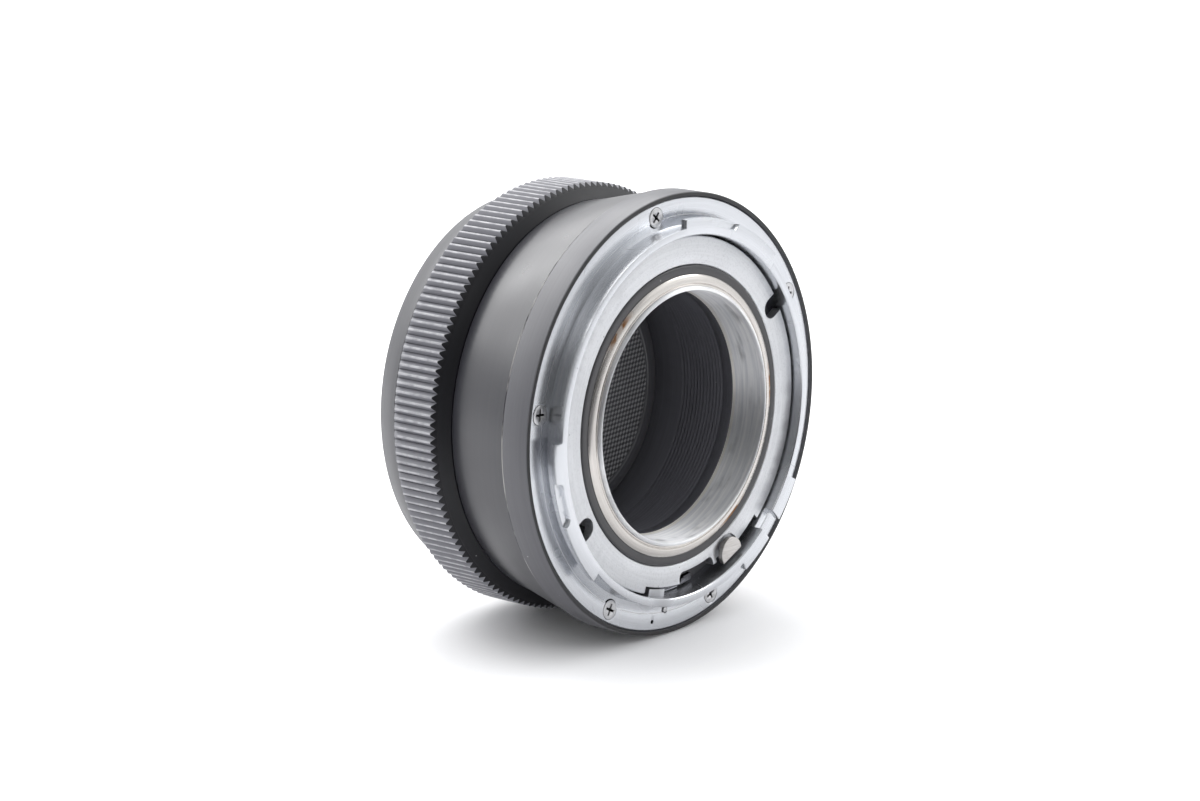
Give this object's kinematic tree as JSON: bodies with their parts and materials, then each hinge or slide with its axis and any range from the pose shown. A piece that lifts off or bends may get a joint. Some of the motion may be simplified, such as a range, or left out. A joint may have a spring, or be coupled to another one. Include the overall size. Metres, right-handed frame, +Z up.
{
  "type": "camera extension tube",
  "caption": "Medium-format camera extension tube with breech-lock bayonet, turning cocking drive, knurled breech ring and rear cap.",
  "frame": {"origin": "on the optical axis, in the plane of the lens seat", "axes": "+Y along the optical axis from the lens side to the camera side, +Z up as the tube lies in the picture, +X to the right as the lens side is seen"},
  "size_m": [0.1064, 0.0557, 0.1064],
  "materials": {
    "flange_chrome": "satin",
    "ring_aluminium": "satin",
    "tube_metal": "brushed",
    "nickel": "satin",
    "screw_steel": "polished",
    "dark_steel": "blackened",
    "spring_steel": "polished",
    "black_paint": "satin",
    "black_anodised": "satin",
    "matte_black": "matt",
    "bearing_brass": "turned",
    "index_red": "gloss",
    "cap_plastic": "matt"
  },
  "bodies": {
    "tube": {"lens_flange": "flange_chrome", "flange_screws": "screw_steel", "flange_dowel": "screw_steel", "flange_housing": "black_paint", "main_barrel": "black_paint", "throat_tube": "tube_metal", "throat_bezel": "nickel", "ring_retainer": "matte_black", "baffle_tube": "matte_black", "drum_bush": "bearing_brass", "seat_plate": "flange_chrome", "seat_screws": "screw_steel", "locating_key": "screw_steel", "snap_ring": "spring_steel", "breech_stop_screw": "dark_steel", "lever_pivot_screw": "dark_steel", "lever_spring": "spring_steel", "housing_index_dot": "index_red"},
    "drive": {"cocking_ring": "ring_aluminium", "drum": "black_anodised", "drum_screws": "dark_steel", "driver_ring": "ring_aluminium", "drive_pins": "screw_steel", "plunger_spring": "spring_steel"},
    "plunger": {"lock_plunger": "nickel", "plunger_clip": "dark_steel"},
    "lever": {"lock_lever": "dark_steel"},
    "breech": {"breech_ring": "black_anodised", "lug_ring": "flange_chrome", "lug_ring_screws": "dark_steel", "breech_index_dot": "index_red"},
    "cap": {"rear_cap": "cap_plastic"}
  },
  "joints": [
    {"name": "drive_turn", "type": "hinge", "parent": "tube", "child": "drive", "pos_m": [0, 0.0225, 0], "axis": [0, 1, 0], "range_deg": [0, 50]},
    {"name": "plunger_press", "type": "slide", "parent": "drive", "child": "plunger", "axis": [0, 1, 0], "range_m": [0, 0.0013], "stiffness_N_per_m": 500, "springref_m": -0.001, "deforming": ["plunger_spring"]},
    {"name": "lever_swing", "type": "hinge", "parent": "tube", "child": "lever", "pos_m": [-0.00368, 0.0058, -0.04204], "axis": [0, -1, 0], "range_deg": [0, 4]},
    {"name": "breech_turn", "type": "hinge", "parent": "tube", "child": "breech", "pos_m": [0, 0.04, 0], "axis": [0, 1, 0], "range_deg": [0, 60]},
    {"name": "cap_off", "type": "slide", "parent": "tube", "child": "cap", "axis": [0, 1, 0], "range_m": [0, 0.03]}
  ]
}
